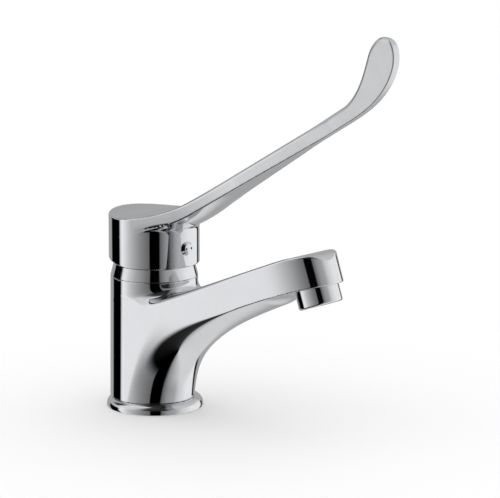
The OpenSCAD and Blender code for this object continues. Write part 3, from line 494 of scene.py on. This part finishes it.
def polishGroup():
    # faint waviness of a polished casting, a thin film of smears on it, and wear that dulls it towards the paddle
    g = bpy.data.node_groups.new("polish film", "ShaderNodeTree")
    for way, sockets in (("INPUT", filmInputs), ("OUTPUT", filmOutputs)):
        for name, kind in sockets.items():
            g.interface.new_socket(name=name, in_out=way, socket_type="NodeSocket" + kind)
    n, link = g.nodes, g.links.new
    given, made = n.new("NodeGroupInput"), n.new("NodeGroupOutput")
    place = n.new("ShaderNodeTexCoord")
    wave, smear, mix, span = (n.new(k) for k in ("ShaderNodeTexNoise", "ShaderNodeTexNoise", "ShaderNodeMix",
                                                 "ShaderNodeMapRange"))
    wave.inputs["Detail"].default_value = film["rippleDetail"]
    smear.inputs["Detail"].default_value = film["smearDetail"]
    smear.inputs["Roughness"].default_value = film["smearRough"]
    mix.data_type = "RGBA"
    span.inputs["From Min"].default_value, span.inputs["From Max"].default_value = film["smearSpan"]
    apart, along, dull = n.new("ShaderNodeSeparateXYZ"), n.new("ShaderNodeMapRange"), n.new("ShaderNodeMath")
    along.interpolation_type, dull.operation = "SMOOTHSTEP", "MULTIPLY_ADD"
    along.inputs["From Min"].default_value, along.inputs["From Max"].default_value = film["wearX"]
    link(place.outputs["Object"], apart.inputs[0])
    link(apart.outputs["X"], along.inputs["Value"])
    link(along.outputs["Result"], dull.inputs[0])
    link(given.outputs["Wear"], dull.inputs[1])
    link(span.outputs["Result"], dull.inputs[2])
    link(place.outputs["Object"], wave.inputs["Vector"])
    link(place.outputs["Object"], smear.inputs["Vector"])
    link(given.outputs["Ripple Scale"], wave.inputs["Scale"])
    link(given.outputs["Smear Scale"], smear.inputs["Scale"])
    link(smear.outputs["Fac"], span.inputs["Value"])
    link(given.outputs["Rough From"], span.inputs["To Min"])
    link(given.outputs["Rough To"], span.inputs["To Max"])
    link(smear.outputs["Fac"], mix.inputs["Factor"])
    link(given.outputs["Bright"], mix.inputs["A"])
    link(given.outputs["Dull"], mix.inputs["B"])
    link(mix.outputs["Result"], made.inputs["Colour"])
    link(dull.outputs[0], made.inputs["Roughness"])
    link(wave.outputs["Fac"], made.inputs["Height"])
    return g


polish = polishGroup()


def finish(name, values, metal, bump, coat=0.0):
    # one finish: the shared film drives colour, roughness and a slight bump (strength, height in metres)
    m = bpy.data.materials.new(name)
    m.use_nodes = True
    n, link = m.node_tree.nodes, m.node_tree.links.new
    shade = n["Principled BSDF"]
    coating, relief = n.new("ShaderNodeGroup"), n.new("ShaderNodeBump")
    coating.node_tree = polish
    for key, value in values.items():
        coating.inputs[key].default_value = value
    relief.inputs["Strength"].default_value, relief.inputs["Distance"].default_value = bump
    shade.inputs["Metallic"].default_value = metal
    shade.inputs["Coat Weight"].default_value = coat
    link(coating.outputs["Colour"], shade.inputs["Base Color"])
    link(coating.outputs["Roughness"], shade.inputs["Roughness"])
    link(coating.outputs["Height"], relief.inputs["Height"])
    link(relief.outputs["Normal"], shade.inputs["Normal"])
    return m


def tones(bright, dull, low, high, ripple, smear):
    # the film's settings: two colours, the range of roughness and the scales of its noises
    return {"Bright": (*bright, 1), "Dull": (*dull, 1), "Rough From": low, "Rough To": high,
            "Ripple Scale": ripple, "Smear Scale": smear}


chromeTones = tones((0.78, 0.79, 0.81), (0.72, 0.73, 0.75), 0.025, 0.07, 45, 80)
finishes = {
    "chrome": finish("polished chrome", chromeTones, 1.0, (0.05, 0.0002)),
    "brass": finish("turned brass", tones((0.72, 0.56, 0.28), (0.6, 0.45, 0.2), 0.2, 0.35, 300, 200),
                    1.0, (0.1, 0.0002)),
    "steel": finish("plain steel", tones((0.6, 0.61, 0.62), (0.5, 0.51, 0.52), 0.22, 0.4, 500, 300),
                    1.0, (0.1, 0.0002)),
    "pale_plastic": finish("pale moulded plastic", tones((0.84, 0.84, 0.81), (0.76, 0.76, 0.73), 0.4, 0.55, 700, 250),
                           0.0, (0.1, 0.0002)),
    "ceramic": finish("lapped ceramic", tones((0.9, 0.89, 0.86), (0.84, 0.83, 0.8), 0.1, 0.2, 300, 200),
                      0.0, (0.03, 0.0001), 0.3),
    "rubber": finish("black rubber", tones((0.045, 0.045, 0.045), (0.025, 0.025, 0.025), 0.6, 0.8, 900, 300),
                     0.0, (0.2, 0.0002)),
    "red_mark": finish("red inlay", tones((0.24, 0.012, 0.03), (0.18, 0.01, 0.02), 0.2, 0.35, 900, 700),
                       0.0, (0.05, 0.0001), 0.4),
    "blue_mark": finish("blue inlay", tones((0.03, 0.04, 0.16), (0.02, 0.03, 0.12), 0.2, 0.35, 900, 700),
                        0.0, (0.05, 0.0001), 0.4),
}
handledChrome = finish("handled chrome", {**chromeTones, "Wear": 0.3}, 1.0, (0.05, 0.0002))
for entry in frame["record"]["subparts"]:
    mesh = nodes[entry["node"]].data
    mesh.materials.clear()
    mesh.materials.append(finishes[entry["material_slot"]])
lever.data.materials.append(handledChrome)
for piece in (body, ring, collar, sleeve, button):
    piece.data.materials.append(finishes["chrome"])
for piece, (_, _, slot, _) in zip(marks, indexButton["dots"]):
    piece.data.materials.append(finishes[slot])
print("finishes made")

# floor, light and camera
# the levels are counted round from the direction in which the photograph was taken: (degrees, level)
# low, above, overhead and below are sines of the elevations over which upper, ceiling, zenith and ground take over
studio = {
    "floor": 3.0, "floorColour": (0.96, 0.96, 0.96, 1), "floorGlow": 0.05, "white": (1, 1, 1, 1), "turn": 47.0,
    "middle": [(-180, 0.42), (-136, 0.42), (-132.5, 0), (-98, 0), (-94, 0.8), (-88, 1.05), (-80, 0.94), (-70, 0.74),
               (-61, 0.6), (-52, 0.49), (-36, 0.325), (-20, 0.21), (-11.5, 0.17), (-10, 0), (14, 0), (17, 0.15),
               (33, 0.36), (52, 0.46), (67, 0.74), (80, 0.85), (100, 1), (139, 1), (142, 0.02), (150, 0.02),
               (153, 0.42), (180, 0.42)],
    "upper": [(-180, 0.45), (-136, 0.48), (-112, 0.62), (-97, 0.85), (-88, 1.0), (-80, 0.94), (-70, 0.74),
              (-52, 0.49), (-20, 0.21), (-11.5, 0.17), (-10, 0), (14, 0), (17, 0.15), (33, 0.36), (52, 0.46),
              (67, 0.74), (80, 0.85), (100, 1), (139, 0.9), (152, 0.45), (180, 0.45)],
    "ceiling": [(-180, 0.47), (-140, 0.47), (-134, 0.05), (-112, 0.05), (-102, 0.9), (-60, 0.75), (-28, 0.1),
                (-12, 0.02), (30, 0.02), (46, 0.3), (60, 0.55), (80, 0.7), (140, 0.62), (180, 0.47)],
    "zenith": [(-180, 0.47), (-100, 0.9), (-50, 0.6), (-28, 0.05), (30, 0.03), (50, 0.35), (80, 0.65), (180, 0.47)],
    "ground": [(-180, 0.76), (-150, 0.5), (-125, 0.04), (-60, 0.01), (-20, 0), (14, 0), (24, 0.34), (45, 0.6),
               (65, 0.82), (120, 0.82), (180, 0.76)],
    "low": (0.1, 0.18), "above": (0.34, 0.5), "overhead": (0.68, 0.86), "below": (-0.57, -0.78),
}


def studioWorld():
    # camera rays see plain white; polished metal sees upright screens with dark gaps between them, under a grey
    # ceiling and over a ground that is pale on one side
    w = bpy.data.worlds.new("studio")
    bpy.context.scene.world = w
    w.use_nodes = True
    n, link = w.node_tree.nodes, w.node_tree.links.new
    n.clear()
    place, split, angle = n.new("ShaderNodeTexCoord"), n.new("ShaderNodeSeparateXYZ"), n.new("ShaderNodeMath")
    count, wrap = n.new("ShaderNodeMath"), n.new("ShaderNodeMath")
    path, plain, screens = n.new("ShaderNodeLightPath"), n.new("ShaderNodeBackground"), n.new("ShaderNodeBackground")
    pick, out = n.new("ShaderNodeMixShader"), n.new("ShaderNodeOutputWorld")
    angle.operation, count.operation, wrap.operation = "ARCTAN2", "MULTIPLY_ADD", "FRACT"
    count.inputs[1].default_value = 1 / (2 * math.pi)
    count.inputs[2].default_value = studio["turn"] / 360 + 1.5  # half a turn to the middle, one to stay above zero
    link(place.outputs["Generated"], split.inputs[0])
    link(split.outputs["Y"], angle.inputs[0])
    link(split.outputs["X"], angle.inputs[1])
    link(angle.outputs[0], count.inputs[0])
    link(count.outputs[0], wrap.inputs[0])

    def around(levels):
        # one ring of levels; a new colour ramp has two stops already
        turn = n.new("ShaderNodeValToRGB")
        stops = turn.color_ramp.elements
        for k, (degrees, level) in enumerate(levels):
            spot = degrees / 360 + 0.5
            stop = stops[k] if k < 2 else stops.new(spot)
            stop.position = spot
            stop.color = (level, level, level, 1)
        link(wrap.outputs[0], turn.inputs["Fac"])
        return turn.outputs["Color"]

    colour = around(studio["middle"])
    for levels, ends in (("upper", "low"), ("ceiling", "above"), ("zenith", "overhead"), ("ground", "below")):
        part, mix = n.new("ShaderNodeMapRange"), n.new("ShaderNodeMix")
        part.interpolation_type, mix.data_type = "SMOOTHSTEP", "RGBA"
        part.inputs["From Min"].default_value, part.inputs["From Max"].default_value = studio[ends]
        link(split.outputs["Z"], part.inputs["Value"])
        link(part.outputs["Result"], mix.inputs["Factor"])
        link(colour, mix.inputs["A"])
        link(around(studio[levels]), mix.inputs["B"])
        colour = mix.outputs["Result"]
    link(colour, screens.inputs["Color"])
    link(path.outputs["Is Glossy Ray"], pick.inputs[0])
    link(plain.outputs[0], pick.inputs[1])
    link(screens.outputs[0], pick.inputs[2])
    link(pick.outputs[0], out.inputs["Surface"])
    plain.inputs["Color"].default_value = studio["white"]


def studioFloor():
    # a pale, dull floor that the polished metal doesn't mirror
    half = studio["floor"]
    mesh = bpy.data.meshes.new("floor")
    mesh.from_pydata([(-half, -half, 0), (half, -half, 0), (half, half, 0), (-half, half, 0)], [], [(0, 1, 2, 3)])
    floor = bpy.data.objects.new("floor", mesh)
    bpy.context.scene.collection.objects.link(floor)
    m = bpy.data.materials.new("pale floor")
    m.use_nodes = True
    shade = m.node_tree.nodes["Principled BSDF"]
    shade.inputs["Base Color"].default_value = studio["floorColour"]
    shade.inputs["Roughness"].default_value = 1.0
    shade.inputs["Specular IOR Level"].default_value = 0.0
    shade.inputs["Emission Color"].default_value = studio["white"]
    shade.inputs["Emission Strength"].default_value = studio["floorGlow"]
    mesh.materials.append(m)
    floor.visible_glossy = False


# camera at the photograph's place, beside the spout and slightly above it: angles in degrees, distances in metres,
# focal length and picture's width in pixels, aim to the right of the origin and above it in millimetres
shot = {
    "azimuth": 43.0, "height": 12.0, "distance": 2.0, "pixels": 3600.0, "width": 500.0, "aim": (52.72, 86.11),
    "sensor": 36.0, "farthest": 20,
}


def shotCamera():
    # looks along its own -Z axis, so its axes are right, up and back
    a, e = math.radians(shot["azimuth"]), math.radians(shot["height"])
    back = Vector((math.sin(a) * math.cos(e), -math.cos(a) * math.cos(e), math.sin(e)))
    right = Vector((math.cos(a), math.sin(a), 0))
    up = back.cross(right)
    aim = (right * shot["aim"][0] + up * shot["aim"][1]) * mm
    data = bpy.data.cameras.new("shot")
    data.sensor_width = shot["sensor"]
    data.lens = shot["pixels"] / shot["width"] * data.sensor_width
    data.clip_end = shot["farthest"]
    camera = bpy.data.objects.new("shot", data)
    bpy.context.scene.collection.objects.link(camera)
    stand = Matrix.Translation(aim + back * shot["distance"])
    camera.matrix_world = stand @ Matrix((right, up, back)).transposed().to_4x4()
    bpy.context.scene.camera = camera


studioWorld()
studioFloor()
shotCamera()
bpy.context.scene.view_settings.view_transform = "Standard"
print("stage set")
